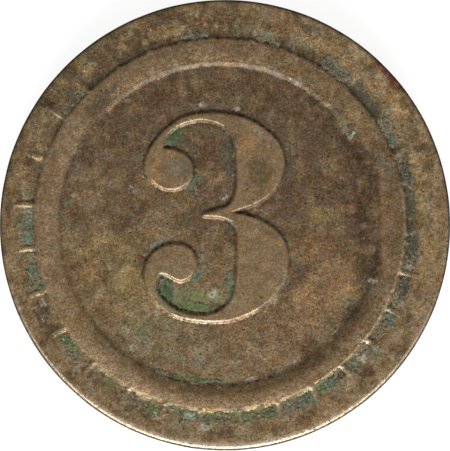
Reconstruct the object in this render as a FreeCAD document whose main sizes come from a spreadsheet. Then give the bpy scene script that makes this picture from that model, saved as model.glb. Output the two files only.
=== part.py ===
import FreeCAD, Part
import math
import os

import Sketcher
from FreeCAD import Vector

# Struck brass transit token, and the corrosion deposits that lie on its front face. The blank's axis is Z,
# its lower rim plane is Z = 0, and +Y points to the top of the numeral on the front face, which looks up.
# One pair of dies strikes both faces, a little off the blank's centre, so the ring, the border and the
# numeral share an axis of their own. Lengths are in millimetres.

SIZES = [
    ("diameter", 23.0, "blank, across its plain edge"),
    ("thickness", 1.5, "over both rims"),
    ("rim_round", 0.26, "rounding of the edge's two corners"),
    ("strike_x", -0.26, "dies' axis from the blank's axis"),
    ("strike_y", 0.03, "dies' axis from the blank's axis"),
    ("relief", 0.20, "rim plane down to the field and to the border's floor"),
    ("ring_foot_inner", 8.09, "radius of the ring's foot on the field"),
    ("ring_inner", 8.32, "radius of the ring's inner shoulder"),
    ("ring_outer", 9.43, "radius of the ring's outer shoulder"),
    ("ring_foot_outer", 9.60, "radius of the ring's foot in the border"),
    ("ring_drop", 0.065, "rim plane down to the ring's shoulders"),
    ("ring_crown", 0.055, "rise of the ring's rounded top"),
    ("floor_outer", 9.85, "radius where the border's floor starts to rise"),
    ("border_outer", 10.94, "radius where the border runs out into the rim"),
    ("bar_inner", 9.45, "radius of the bars' inner end, in the ring's flank"),
    ("bar_width", 0.26, "across a bar"),
    ("bar_drop", 0.07, "rim plane down to the bars' tops"),
    ("numeral_drop", 0.03, "rim plane down to the numeral's top"),
    ("numeral_draft", 36.0, "slope of the numeral's flanks, in degrees from upright"),
    ("crust", 0.07, "thickness of the corrosion deposits"),
    ("crust_width", 0.22, "how far the ring's deposits reach into the field"),
]

# Degrees from +X to the first bar, then the gaps to the next ones, anticlockwise. They are uneven, as
# in a die cut by hand, and the last gap closes the circle.
FIRST_BAR = 122.5
BAR_GAPS = (12, 11, 14, 14.5, 13, 13.5, 13, 14, 13.5, 12, 11, 12, 12, 11.5, 11.5,
            11, 11.5, 12, 12, 12, 13, 12, 13, 12, 10.5, 10, 12.5, 9.5, 10, 10.5)

# Outline of the numeral at half height, about the dies' axis. Each row is one smooth stretch, which ends
# at a corner where the next row starts. The last row ends in the notch between the two bowls.
NUMERAL = (
    # upper bowl from the notch, over the top, round the upper ball
    ((0.62, 0.63), (1.45, 0.88), (2.10, 1.17), (2.94, 1.94), (3.31, 3.00), (3.15, 3.98), (2.52, 4.75),
     (1.28, 5.47), (-0.40, 5.74), (-2.00, 5.44), (-3.15, 4.50), (-3.70, 3.70), (-3.85, 2.90),
     (-3.43, 2.16), (-2.54, 1.74), (-1.69, 2.04), (-1.35, 2.85), (-1.62, 3.50), (-2.30, 3.84)),
    # end of the upper counter
    ((-2.88, 3.94),),
    # upper counter, inner side of the stem, upper side of the spur
    ((-2.80, 4.20), (-2.34, 4.86), (-1.60, 5.20), (-0.72, 5.29), (0.12, 4.99), (0.62, 4.50), (0.78, 3.80),
     (0.83, 2.70), (0.77, 1.60), (0.47, 1.06), (-0.15, 0.79)),
    # tip of the spur
    ((-0.90, 0.51),),
    # lower side of the spur, inner side of the stem, lower counter
    ((-0.88, 0.43), (-0.30, 0.37), (0.35, 0.24), (0.72, -0.08), (0.84, -0.60), (0.85, -1.80), (0.78, -3.00),
     (0.54, -3.80), (-0.10, -4.40), (-1.20, -4.60), (-2.30, -4.25), (-3.00, -3.62), (-3.22, -2.95)),
    # lower ball, lower bowl along the bottom and back up to the notch
    ((-3.05, -2.53), (-2.50, -2.70), (-2.05, -2.90), (-1.44, -2.62), (-1.14, -1.90), (-1.47, -1.22),
     (-2.30, -0.96), (-3.18, -1.22), (-3.74, -1.85), (-3.88, -2.62), (-3.66, -3.45), (-3.02, -4.27),
     (-2.08, -4.77), (-0.80, -4.98), (0.50, -4.93), (1.73, -4.48), (2.73, -3.74), (3.38, -2.75),
     (3.53, -1.70), (3.20, -0.62), (2.42, 0.08), (1.60, 0.45)),
)

# The most that a corner of the outline moves, when its two sides move by one.
MITRE = 2.5

# Deposits in the numeral's counters and beside its balls, about the dies' axis: centre, half length,
# half width, and the long side's angle in degrees.
NUMERAL_CRUSTS = (
    ((-2.42, 4.30), 0.55, 0.34, 55),
    ((-2.72, -3.24), 0.66, 0.44, 100),
    ((-1.25, -4.16), 0.95, 0.28, -6),
    ((0.52, -2.85), 0.55, 0.20, 96),
    ((-1.10, -2.56), 0.46, 0.16, 48),
    ((-1.12, 2.12), 0.52, 0.20, 62),
)

# Stretches of the ring's inner foot that hold deposits: first and last degree.
RING_CRUSTS = ((34, 43), (246, 257), (259, 272), (312, 319))

# Border panels that hold deposits, counted anticlockwise from the first bar.
BORDER_CRUSTS = (1, 4, 5, 7, 9, 10, 11, 12, 13, 14, 15, 16, 17, 18, 20, 21, 23, 25, 27)


def make_sheet(doc):
    """Write the driving dimensions to a spreadsheet, one alias a row."""
    sheet = doc.addObject("Spreadsheet::Sheet", "sizes")
    for row, (alias, value, note) in enumerate(SIZES, start=1):
        sheet.set(f"A{row}", alias)
        sheet.set(f"B{row}", str(value))
        sheet.set(f"C{row}", note)
        sheet.setAlias(f"B{row}", alias)
    doc.recompute()
    return sheet


def polar(radius, degrees):
    """Point at a radius and an angle."""
    angle = math.radians(degrees)
    return Vector(radius * math.cos(angle), radius * math.sin(angle), 0)


def bar_angles():
    """Directions of the bars' middles, anticlockwise, with the first one again at the end."""
    angles = [FIRST_BAR]
    for gap in BAR_GAPS:
        angles.append(angles[-1] + gap)
    return angles


# Sketches


def new_sketch(body, name, role):
    """A sketch on one of the body's own origin planes."""
    plane = next(item for item in body.Origin.OriginFeatures if item.Role == role)
    sketch = body.newObject("Sketcher::SketchObject", name)
    sketch.AttachmentSupport = [(plane, "")]
    sketch.MapMode = "FlatFace"
    return sketch


def level_sketch(body, name, height):
    """A level sketch at a height, with its origin on the dies' axis."""
    sketch = new_sketch(body, name, "XY_Plane")
    sketch.setExpression("AttachmentOffset.Base.x", "sizes.strike_x")
    sketch.setExpression("AttachmentOffset.Base.y", "sizes.strike_y")
    sketch.setExpression("AttachmentOffset.Base.z", height)
    return sketch


def value_of(sketch, expression):
    """The number that an expression on the sheet has now."""
    return float(sketch.evalExpression(expression))


def hold(sketch, kind, index, end, expression, value):
    """Hold one end of an edge at its distance from the sketch's origin, or on an axis."""
    if expression == "0":
        axis = -2 if kind == "DistanceX" else -1
        sketch.addConstraint(Sketcher.Constraint("PointOnObject", index, end, axis))
        return
    number = sketch.addConstraint(Sketcher.Constraint(kind, -1, 1, index, end, value))
    sketch.setExpression(f"Constraints[{number}]", expression)


def arch(left, right, radius):
    """Arc that bulges upwards over two points at one height, anticlockwise from the right one."""
    half = (right.x - left.x) / 2
    centre = Vector(left.x + half, left.y - math.sqrt(radius ** 2 - half ** 2), 0)
    lean = math.asin(half / radius)
    circle = Part.Circle(centre, Vector(0, 0, 1), radius)
    return Part.ArcOfCircle(circle, math.pi / 2 - lean, math.pi / 2 + lean)


def draw_profile(sketch, corners, arched=None, radius=None):
    """Draw a closed outline through corners given as expressions. One of its edges may be an arch."""
    points = [Vector(value_of(sketch, across), value_of(sketch, up), 0) for across, up in corners]
    count = len(points)
    for index, point in enumerate(points):
        following = points[(index + 1) % count]
        if index == arched:
            sketch.addGeometry(arch(point, following, value_of(sketch, radius)), False)
        else:
            sketch.addGeometry(Part.LineSegment(point, following), False)
    starts = [2 if index == arched else 1 for index in range(count)]
    for index, start in enumerate(starts):
        following = (index + 1) % count
        meeting = Sketcher.Constraint("Coincident", index, 3 - start, following, starts[following])
        sketch.addConstraint(meeting)
    for index, (across, up) in enumerate(corners):
        hold(sketch, "DistanceX", index, starts[index], across, points[index].x)
        hold(sketch, "DistanceY", index, starts[index], up, points[index].y)
    if radius:
        number = sketch.addConstraint(Sketcher.Constraint("Radius", arched, value_of(sketch, radius)))
        sketch.setExpression(f"Constraints[{number}]", radius)


# The disc


def blank_profile(body):
    """Half section of the plain blank."""
    sketch = new_sketch(body, "blank_profile", "XZ_Plane")
    corners = [
        ("0", "0"),
        ("sizes.diameter / 2", "0"),
        ("sizes.diameter / 2", "sizes.thickness"),
        ("0", "sizes.thickness"),
    ]
    draw_profile(sketch, corners)
    return sketch


def strike_profile(body):
    """Half section, about the dies' axis, of the room above the struck face inside the rim."""
    sketch = new_sketch(body, "strike_profile", "XZ_Plane")
    sketch.setExpression("AttachmentOffset.Base.x", "sizes.strike_x")
    sketch.setExpression("AttachmentOffset.Base.z", "-sizes.strike_y")
    floor = "sizes.thickness - sizes.relief"
    shoulder = "sizes.thickness - sizes.ring_drop"
    clear = "sizes.thickness + sizes.relief"
    corners = [
        ("0", clear),
        ("0", floor),
        ("sizes.ring_foot_inner", floor),
        ("sizes.ring_inner", shoulder),
        ("sizes.ring_outer", shoulder),
        ("sizes.ring_foot_outer", floor),
        ("sizes.floor_outer", floor),
        ("sizes.border_outer", "sizes.thickness"),
        ("sizes.border_outer", clear),
    ]
    half_width = "(sizes.ring_outer - sizes.ring_inner) / 2"
    crown_radius = f"(({half_width})^2 + sizes.ring_crown^2) / (2 * sizes.ring_crown)"
    ring_top = 3
    draw_profile(sketch, corners, ring_top, crown_radius)
    return sketch


def bar_outline(sizes, degrees):
    """A narrow rectangle along one radius of the border."""
    along = polar(1, degrees)
    aside = polar(sizes.bar_width / 2, degrees + 90)
    near = along * sizes.bar_inner
    far = along * sizes.border_outer
    corners = [near - aside, far - aside, far + aside, near + aside]
    return [Part.LineSegment(corners[index - 1], corners[index]) for index in range(4)]


def smooth_curve(points):
    """A straight line through two points, and a spline through more."""
    if len(points) == 2:
        return Part.LineSegment(*points)
    curve = Part.BSplineCurve()
    curve.interpolate(points)
    return curve


def outward(curve, parameter):
    """Unit vector square to an anticlockwise outline, pointing out of it."""
    tangent = curve.tangent(parameter)[0]
    return Vector(tangent.y, -tangent.x, 0).normalize()


def mitred(before, after, spread):
    """The corner where two stretches meet, moved to where their moved sides meet."""
    both = outward(before, before.LastParameter) + outward(after, after.FirstParameter)
    reach = min(2 / both.Length, MITRE)
    return after.value(after.FirstParameter) + both.normalize() * spread * reach


def numeral_outline(spread):
    """The numeral's outline moved outwards by a distance, as curves that meet end to end."""
    rows = [row + NUMERAL[(index + 1) % len(NUMERAL)][:1] for index, row in enumerate(NUMERAL)]
    rows = [[Vector(x, y, 0) for x, y in row] for row in rows]
    curves = [smooth_curve(row) for row in rows]
    corners = [mitred(curves[index - 1], curve, spread) for index, curve in enumerate(curves)]
    moved = []
    for index, (row, curve) in enumerate(zip(rows, curves)):
        inner = [point + outward(curve, curve.parameter(point)) * spread for point in row[1:-1]]
        moved.append([corners[index], *inner, corners[(index + 1) % len(corners)]])
    return [smooth_curve(points) for points in moved]


def wall_corners(shape, radius):
    """Names of the two circles where the blank's wall meets its faces."""
    names = []
    for number, edge in enumerate(shape.Edges, start=1):
        if isinstance(edge.Curve, Part.Circle) and abs(edge.Curve.Radius - radius) < 1e-6:
            names.append(f"Edge{number}")
    return names


def make_blank(doc, body, sizes):
    """A round blank with rounded corners."""
    blank = body.newObject("PartDesign::Revolution", "blank")
    profile = blank_profile(body)
    blank.Profile = profile
    blank.ReferenceAxis = (profile, ["V_Axis"])
    blank.Angle = 360
    doc.recompute()
    rounding = body.newObject("PartDesign::Fillet", "edge_rounding")
    rounding.Base = (blank, wall_corners(blank.Shape, sizes.diameter / 2))
    rounding.setExpression("Radius", "sizes.rim_round")
    doc.recompute()


def strike_ring(doc, body):
    """Sink the field and the border, which leaves the ring and the rim standing."""
    strike = body.newObject("PartDesign::Groove", "field_and_border")
    profile = strike_profile(body)
    strike.Profile = profile
    strike.ReferenceAxis = (profile, ["V_Axis"])
    strike.Angle = 360
    before = body.Shape.Volume
    doc.recompute()
    if strike.Shape.Volume >= before:
        raise RuntimeError("the strike removed nothing")
    return strike


def raise_bars(doc, body, sizes):
    """The radial bars that divide the border into panels."""
    bars = body.newObject("PartDesign::Pad", "bars")
    outlines = level_sketch(body, "bar_outlines", "sizes.thickness - sizes.relief")
    for degrees in bar_angles()[:-1]:
        outlines.addGeometry(bar_outline(sizes, degrees), False)
    bars.Profile = outlines
    bars.setExpression("Length", "sizes.relief - sizes.bar_drop")
    doc.recompute()
    return bars


def raise_numeral(doc, body, sizes):
    """The numeral, with sloping flanks between a wider foot and a narrower top."""
    height = sizes.relief - sizes.numeral_drop
    spread = height * math.tan(math.radians(sizes.numeral_draft)) / 2
    foot = level_sketch(body, "numeral_foot", "sizes.thickness - sizes.relief")
    foot.addGeometry(numeral_outline(spread), False)
    top = level_sketch(body, "numeral_top", "sizes.thickness - sizes.numeral_drop")
    top.addGeometry(numeral_outline(-spread), False)
    numeral = body.newObject("PartDesign::AdditiveLoft", "numeral")
    numeral.Profile = foot
    numeral.Sections = [top]
    numeral.Ruled = True
    doc.recompute()
    return numeral


def strike_back(doc, body, features):
    """Repeat the strike on the back, turned over about an upright line through the dies' axis."""
    plane = next(item for item in body.Origin.OriginFeatures if item.Role == "XY_Plane")
    turnover = body.newObject("PartDesign::Line", "turnover")
    turnover.AttachmentSupport = [(plane, "")]
    turnover.MapMode = "ObjectY"
    turnover.setExpression("AttachmentOffset.Base.x", "sizes.strike_x")
    turnover.setExpression("AttachmentOffset.Base.y", "sizes.thickness / 2")
    both = body.newObject("PartDesign::PolarPattern", "both_faces")
    both.Originals = features
    both.Axis = (turnover, [""])
    both.Angle = 360
    both.Occurrences = 2
    body.Tip = both
    doc.recompute()


def make_disc(doc, sizes):
    """The token itself: one blank, struck on both faces."""
    body = doc.addObject("PartDesign::Body", "struck_disc")
    doc.recompute()
    make_blank(doc, body, sizes)
    strike = strike_ring(doc, body)
    bars = raise_bars(doc, body, sizes)
    numeral = raise_numeral(doc, body, sizes)
    strike_back(doc, body, [strike, bars, numeral])
    return body


# The corrosion deposits


def oval_outline(centre, half_length, half_width, degrees):
    """An ellipse with its long side at an angle."""
    middle = Vector(*centre, 0)
    along = polar(half_length, degrees)
    aside = polar(half_width, degrees + 90)
    return [Part.Ellipse(middle + along, middle + aside, middle)]


def sector_outline(inner, outer, start, end):
    """Part of an annulus between two directions."""
    circles = [Part.Circle(Vector(0, 0, 0), Vector(0, 0, 1), radius) for radius in (inner, outer)]
    near, far = [Part.ArcOfCircle(circle, math.radians(start), math.radians(end)) for circle in circles]
    first = Part.LineSegment(polar(inner, start), polar(outer, start))
    last = Part.LineSegment(polar(inner, end), polar(outer, end))
    return [near, last, far, first]


def make_crusts(doc, name, outlines, disc):
    """Flat-topped deposits on the front face, trimmed to the metal that they lie on."""
    blocks = doc.addObject("PartDesign::Body", f"{name}_blocks")
    doc.recompute()
    pad = blocks.newObject("PartDesign::Pad", f"{name}_pad")
    sketch = level_sketch(blocks, f"{name}_outlines", "sizes.thickness - sizes.relief")
    for outline in outlines:
        sketch.addGeometry(outline, False)
    pad.Profile = sketch
    pad.AllowMultiFace = True
    pad.setExpression("Length", "sizes.crust")
    doc.recompute()
    crust = doc.addObject("Part::Cut", name)
    crust.Base = blocks
    crust.Tool = disc
    doc.recompute()
    return crust


def numeral_crusts(doc, sizes, disc):
    """Deposits in the hollows of the numeral."""
    outlines = [oval_outline(*row) for row in NUMERAL_CRUSTS]
    return make_crusts(doc, "verdigris_in_numeral", outlines, disc)


def ring_crusts(doc, sizes, disc):
    """Deposits along the ring's inner foot."""
    inner = sizes.ring_foot_inner - sizes.crust_width
    outlines = [sector_outline(inner, sizes.ring_inner, start, end) for start, end in RING_CRUSTS]
    return make_crusts(doc, "verdigris_at_ring", outlines, disc)


def border_crusts(doc, sizes, disc):
    """Deposits that fill the lowest part of a border panel from bar to bar."""
    angles = bar_angles()
    half_bar = math.degrees(sizes.bar_width / 2 / sizes.bar_inner)
    outlines = []
    for panel in BORDER_CRUSTS:
        start = angles[panel] + half_bar
        end = angles[panel + 1] - half_bar
        outlines.append(sector_outline(sizes.bar_inner, sizes.border_outer, start, end))
    return make_crusts(doc, "verdigris_in_border", outlines, disc)


# Checking and writing


def check_document(doc, nodes):
    """Stop if a feature failed or a node's shape can't be used."""
    for item in doc.Objects:
        if "Invalid" in item.State or "Error" in item.State:
            raise RuntimeError(f"{item.Label} failed: {item.State}")
    for node in nodes:
        if node.Shape.isNull() or not node.Shape.isValid():
            raise RuntimeError(f"{node.Label} has no valid shape")


def main():
    """Build the document, check it and write one STEP file a node."""
    doc = FreeCAD.newDocument("transit_token")
    sizes = make_sheet(doc)
    disc = make_disc(doc, sizes)
    nodes = [disc]
    for make in (numeral_crusts, ring_crusts, border_crusts):
        nodes.append(make(doc, sizes, disc))
    doc.recompute()
    check_document(doc, nodes)
    os.makedirs("parts", exist_ok=True)
    for node in nodes:
        node.Shape.exportStep(f"parts/{node.Label}.step")
        print(node.Label, len(node.Shape.Solids), "solids", round(node.Shape.Volume, 3), "mm3")


main()
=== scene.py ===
import math
from types import SimpleNamespace

import bpy
import numpy as np
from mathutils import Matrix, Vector
from mathutils.bvhtree import BVHTree
from mathutils.geometry import delaunay_2d_cdt


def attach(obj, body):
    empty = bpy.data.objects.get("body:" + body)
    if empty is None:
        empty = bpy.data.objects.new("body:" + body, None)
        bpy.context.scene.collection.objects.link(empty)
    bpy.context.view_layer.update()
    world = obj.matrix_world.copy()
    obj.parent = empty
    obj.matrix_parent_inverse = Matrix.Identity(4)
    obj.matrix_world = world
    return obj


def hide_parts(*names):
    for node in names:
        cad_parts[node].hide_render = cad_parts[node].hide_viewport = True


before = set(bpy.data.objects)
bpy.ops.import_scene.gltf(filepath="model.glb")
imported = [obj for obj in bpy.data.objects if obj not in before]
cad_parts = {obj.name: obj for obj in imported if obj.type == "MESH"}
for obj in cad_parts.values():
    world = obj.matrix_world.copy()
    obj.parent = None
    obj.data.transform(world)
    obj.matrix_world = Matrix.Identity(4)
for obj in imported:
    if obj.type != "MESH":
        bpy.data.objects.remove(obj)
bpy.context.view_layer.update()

# Looks of a worn, corroded brass token. The metal is one closed mesh, whose heights come from the struck
# disc, softened by wear. The corrosion deposits are lumpy crusts where the CAD has its plain ones.
# Lengths are in millimetres until a mesh is made, and angles are in degrees anticlockwise from +X.
# Each random field has a seed of its own, so the script gives the same result each run.

MM = 0.001
BLANK_RADIUS = 11.5
THICKNESS = 1.5
ROUNDING = 0.26
DIES_AXIS = (-0.26, 0.03)
# Radii of the feet and shoulders of the ring's two flanks.
RING_INSIDE = (8.09, 8.32)
RING_OUTSIDE = (9.43, 9.6)
FIELD_LEVEL = 1.3
# Radii and heights of the border's floor.
BORDER_RISE = ((9.6, 9.85, 10.94), (1.3, 1.3, 1.5))
# Anything raised inside this radius is the numeral.
NUMERAL_REACH = 7.6
# Radii over which one region of the face gives way to the next.
FIELD_TO_RING = (8.2, 8.34)
RING_TO_BORDER = (9.44, 9.58)
BORDER_TO_RIM = (10.6, 11.0)

# The square grid that heights are worked out on.
GRID = 720
SPAN = 23.4
STEP = SPAN / GRID
AXIS = (np.arange(GRID) + 0.5) * STEP - SPAN / 2
GRID_X, GRID_Y = np.meshgrid(AXIS, AXIS)

# How far wear rounds the strike's edges, and the sizes and depths of the metal's swells.
EDGE_WEAR = 0.026
SWELL = ((2.6, 0.005), (0.6, 0.003), (0.22, 0.0022))

# How far a crust reaches into the metal under it, so that no gap shows.
CRUST_ROOT = 0.03
# Height of a crust's foot, where there is no crust, and its most above the metal.
CRUST_RANGE = (-0.02, 0.09)

# Points round the blank, rows on the edge's rounding (degrees) and wall (share of its height), and the
# spacing of the points on the faces, on slopes and on level metal.
COLUMNS = 720
ROUND_ROWS = (10, 20, 30, 42, 54, 66, 78, 90)
WALL_ROWS = (0.25, 0.5, 0.75)
FRONT_SPACING = (0.052, 0.13)
BACK_SPACING = (0.078, 0.21)

# Colours as they look in the scene's light, in sRGB.
FIELD = (121, 101, 77)
BROWN = (97, 78, 61)
DRAB = (72, 66, 59)
BAR_TOP = (136, 119, 95)
# Painted highlight, with polish on crests: the colour laid where the lamp's reflection falls on flanks and
# on the edge along the bottom.
POLISH_AND_HIGHLIGHT = (202, 183, 157)
# Dirt in hollows, and painted shade on the flanks that face up the token and along its outline.
DIRT_AND_SHADE = (36, 31, 24)
GRIME = (66, 62, 50)
PIT = (38, 31, 24)
DUST = (184, 168, 142)
EARTH = (106, 91, 70)
CRACK = (46, 45, 37)
# Painted glints: pale specks on the crust's grains.
PALE_GLINT = (164, 163, 148)
COLOURS = {
    "umber": (92, 70, 50),
    "gold": (152, 126, 82),
    "shade": (74, 60, 47),
    "ochre": (138, 117, 80),
    "reed": (124, 114, 88),
    "red": (116, 62, 50),
    "olive": (84, 76, 55),
    "ash": (116, 103, 87),
    "orange": (150, 115, 78),
    "rust": (124, 84, 60),
    "moss": (62, 80, 53),
    "leaf": (85, 99, 63),
    "fern": (102, 105, 69),
    "sage": (93, 97, 74),
    "teal": (85, 95, 78),
    "turquoise": (122, 141, 119),
    "slate": (66, 63, 53),
    "mist": (118, 112, 98),
    "chalk": (148, 142, 127),
    "cream": (192, 168, 132),
    "soot": (44, 41, 35),
}
# How bright the scene's light makes a level surface, as a share of its base colour.
LIT = 0.66
# How much of a mottling's change in brightness goes to red, green and blue.
MOTTLING = (0.84, 1.0, 1.34)


# Fields over the grid


def from_dies(x, y):
    """Radius and angle about the dies' axis."""
    across = x - DIES_AXIS[0]
    along = y - DIES_AXIS[1]
    return np.hypot(across, along), np.degrees(np.arctan2(along, across)) % 360


GRID_RADIUS, GRID_ANGLE = from_dies(GRID_X, GRID_Y)


def blurred(field, sigma):
    """Gaussian blur of a field."""
    across = np.fft.rfftfreq(GRID, STEP)[None, :]
    along = np.fft.fftfreq(GRID, STEP)[:, None]
    gain = np.exp(-2 * (math.pi * sigma) ** 2 * (across ** 2 + along ** 2))
    return np.fft.irfft2(np.fft.rfft2(field) * gain, s=field.shape)


def grain(seed, size):
    """Random unevenness with lumps of about one size, of unit strength."""
    rough = np.random.default_rng(seed).standard_normal((GRID, GRID))
    lumps = blurred(rough, size / 5)
    lumps -= blurred(lumps, size)
    return lumps / lumps.std()


def ramp(low, high, value):
    """0 at low, 1 at high, and smooth in between."""
    share = np.clip((value - low) / (high - low), 0, 1)
    return share * share * (3 - 2 * share)


def sampled(field, x, y):
    """A field's values at points."""
    across = np.clip((x + SPAN / 2) / STEP - 0.5, 0, GRID - 1.001)
    along = np.clip((y + SPAN / 2) / STEP - 0.5, 0, GRID - 1.001)
    column = across.astype(int)
    row = along.astype(int)
    right = across - column
    up = along - row
    lower = field[row, column] * (1 - right) + field[row, column + 1] * right
    upper = field[row + 1, column] * (1 - right) + field[row + 1, column + 1] * right
    return lower * (1 - up) + upper * up


def cad_height(name, upward):
    """A CAD node's height over the grid, seen from below or from above. Where it isn't, NaN."""
    tree = BVHTree.FromObject(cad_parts[name], bpy.context.evaluated_depsgraph_get())
    start = -1.0 * MM if upward else (THICKNESS + 1.0) * MM
    heading = Vector((0, 0, 1 if upward else -1))
    heights = []
    for y in (AXIS * MM).tolist():
        for x in (AXIS * MM).tolist():
            hit = tree.ray_cast(Vector((x, y, start)), heading)[0]
            heights.append(math.nan if hit is None else hit.z)
    return np.array(heights).reshape(GRID, GRID) / MM


def above_border(heights, upward):
    """Height of the bars above the border's floor, and where the border is."""
    floor = np.interp(GRID_RADIUS, BORDER_RISE[0], BORDER_RISE[1])
    if upward:
        floor = THICKNESS - floor
    in_border = (GRID_RADIUS > RING_OUTSIDE[1]) & (GRID_RADIUS < BORDER_RISE[0][2])
    return heights - floor, in_border


def worn_bars(heights, upward):
    """The bars of the border lowered by wear, most of all from the right round to the top."""
    bars, in_border = above_border(heights, upward)
    lost = 0.4 + 0.4 * towards(GRID_ANGLE, 68, -0.1, 0.5)
    return heights - np.where(in_border, lost * bars, 0)


def bar_tops(heights):
    """Where the front's bars stand above the border's floor, from 0 to 1."""
    bars, in_border = above_border(heights, False)
    return np.where(in_border, ramp(0.015, 0.05, bars), 0.0)


def worn_height(upward, seed):
    """Height of the disc's face after wear. Beyond the flat of the rim it stays level."""
    rim = 0 if upward else THICKNESS
    heights = cad_height("struck_disc", upward)
    outside = np.hypot(GRID_X, GRID_Y) > BLANK_RADIUS - ROUNDING - STEP
    heights[outside | np.isnan(heights)] = rim
    heights = worn_bars(heights, upward)
    heights = blurred(heights, EDGE_WEAR)
    for number, (size, depth) in enumerate(SWELL):
        heights += grain(seed + number, size) * depth
    return heights


def scratch_weight(row):
    """How near the grid's points are to a scratch's bent line, from 0 to 1."""
    (start_x, start_y), (end_x, end_y), bulge, width = row[:4]
    length = math.hypot(end_x - start_x, end_y - start_y)
    along_x, along_y = (end_x - start_x) / length, (end_y - start_y) / length
    off_x = GRID_X - DIES_AXIS[0] - start_x
    off_y = GRID_Y - DIES_AXIS[1] - start_y
    along = (off_x * along_x + off_y * along_y) / length
    aside = off_y * along_x - off_x * along_y
    line = 4 * bulge * along * (1 - along)
    ends = ramp(-0.1, 0.25, along) * ramp(1.1, 0.75, along)
    return ends * np.exp(-((aside - line) / width) ** 2)


def scratched(heights):
    """The front face with its scratches, each with the metal thrown up beside it."""
    for row in SCRATCHES:
        near = scratch_weight(row)
        heights = heights - row[4] * near
        heights = heights + 0.35 * row[4] * (blurred(near, 0.05) - blurred(near, 0.02))
    return heights


# Points of a face


def circle(radius, spacing, centre, turn):
    """Evenly spaced points of a circle."""
    count = int(round(2 * math.pi * radius / spacing))
    angles = (np.arange(count) + turn) * 2 * math.pi / count
    return np.stack([centre[0] + radius * np.cos(angles), centre[1] + radius * np.sin(angles)], -1)


def ring_rows(flank, fine):
    """Staggered rows of points along one of the ring's flanks."""
    foot, shoulder = flank
    margin = 0.09
    count = int(round((shoulder - foot + 2 * margin) / fine)) + 1
    radii = np.linspace(foot - margin, shoulder + margin, count)
    return [circle(radius, fine * 1.9, DIES_AXIS, 0.5 * (row % 2)) for row, radius in enumerate(radii)]


def scattered(wanted, seed):
    """Grid points picked by error diffusion, so that they follow the wanted share of points evenly."""
    rng = np.random.default_rng(seed)
    threshold = rng.uniform(0.35, 0.65, (GRID, GRID))
    picked = []
    below = [0.0] * (GRID + 2)
    for row in range(GRID):
        line = (wanted[row] + np.array(below[1:-1])).tolist()
        limits = threshold[row].tolist()
        below = [0.0] * (GRID + 2)
        ahead = 1 if row % 2 else -1
        columns = range(GRID) if row % 2 else range(GRID - 1, -1, -1)
        for column in columns:
            error = line[column]
            if error > limits[column]:
                picked.append((row, column))
                error -= 1
            following = column + ahead
            if 0 <= following < GRID:
                line[following] += error * 7 / 16
            below[column + 1 - ahead] += error * 3 / 16
            below[column + 1] += error * 5 / 16
            below[column + 1 + ahead] += error / 16
    cells = np.array(picked)
    jitter = rng.uniform(-0.3, 0.3, cells.shape) * STEP
    return np.stack([AXIS[cells[:, 1]], AXIS[cells[:, 0]]], -1) + jitter


def point_share(heights, spacing):
    """The share of grid points that a face needs: dense on slopes and sparse on level metal."""
    fine, coarse = spacing
    smooth = blurred(heights, 0.05)
    rise, run = np.gradient(smooth, STEP)
    steep = blurred(np.minimum(np.hypot(rise, run), 0.6), 0.07)
    size = coarse + (fine - coarse) * ramp(0.05, 0.22, steep)
    share = STEP ** 2 / (0.866 * size ** 2)
    for foot, shoulder in (RING_INSIDE, RING_OUTSIDE):
        share[(GRID_RADIUS > foot - 0.12) & (GRID_RADIUS < shoulder + 0.12)] = 0
    share[np.hypot(GRID_X, GRID_Y) > BLANK_RADIUS - ROUNDING - 0.07] = 0
    return share


def face_points(heights, spacing, seed):
    """Points of a face. The first ones are the circle where the edge's rounding starts."""
    rows = [circle(BLANK_RADIUS - ROUNDING, 2 * math.pi * (BLANK_RADIUS - ROUNDING) / COLUMNS, (0, 0), 0)]
    rows += ring_rows(RING_INSIDE, spacing[0])
    rows += ring_rows(RING_OUTSIDE, spacing[0])
    rows.append(scattered(point_share(heights, spacing), seed))
    return np.concatenate(rows)


def triangles(points):
    """Delaunay triangles of points, anticlockwise, as rows of point numbers."""
    result = delaunay_2d_cdt([Vector(point) for point in points.tolist()], [], [], 0, 1e-9)
    original = [numbers[0] for numbers in result[3]]
    return [[original[corner] for corner in face] for face in result[2]]


# Colours


def linear(colour):
    """Base colour that looks like an sRGB colour in the scene's light."""
    parts = np.array(colour) / 255
    light = np.where(parts > 0.04045, ((parts + 0.055) / 1.055) ** 2.4, parts / 12.92)
    return np.minimum(light / LIT, 1)


# Tones of whole regions of the metal, laid over one another in this order: region, strength, where, and
# colour. Where is a direction from the dies' axis, and the cosines of the angles from it at which the tone
# has gone and is full.
EVERYWHERE = (0, -2, -1)
REGION_TONES = (
    ("numeral", 1, EVERYWHERE, (129, 108, 82)),
    ("ring", 1, EVERYWHERE, (122, 101, 77)),
    ("ring", 0.35, (-10, 0.5, 0.95), BROWN),
    ("ring", 0.4, (80, 0.3, 0.9), (136, 114, 87)),
    ("border", 1, EVERYWHERE, (130, 109, 82)),
    ("rim", 1, EVERYWHERE, (131, 110, 85)),
    ("inner flank", 0.85, (90, -0.1, 0.5), DRAB),
    # Painted shade: the ring's inner side darker along the bottom, where it faces up the token, away from
    # the lamp.
    ("inner side", 0.75, (268, 0.1, 0.75), (87, 68, 47)),
    ("inner side", 0.45, (50, 0.75, 0.95), (87, 68, 47)),
    ("dull flank", 1, (265, 0.7, 0.95), DRAB),
    # Painted highlight: the ring's outer flank lighter to the lower right, where it faces the lamp.
    ("outer flank", 1, (335, 0.75, 0.95), (158, 138, 110)),
    ("border and rim", 1, (122, 0.45, 0.9), (78, 63, 47)),
    ("border", 0.35, (80, 0.6, 0.9), (100, 82, 60)),
    ("ring and border", 0.5, (190, 0.3, 0.9), (136, 115, 88)),
    ("border", 0.6, (275, 0.4, 0.8), (148, 127, 98)),
    ("outer border", 0.45, (330, 0.5, 0.8), (150, 128, 97)),
    ("outer rim", 0.5, (60, 0.2, 0.8), (152, 130, 98)),
)

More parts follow.
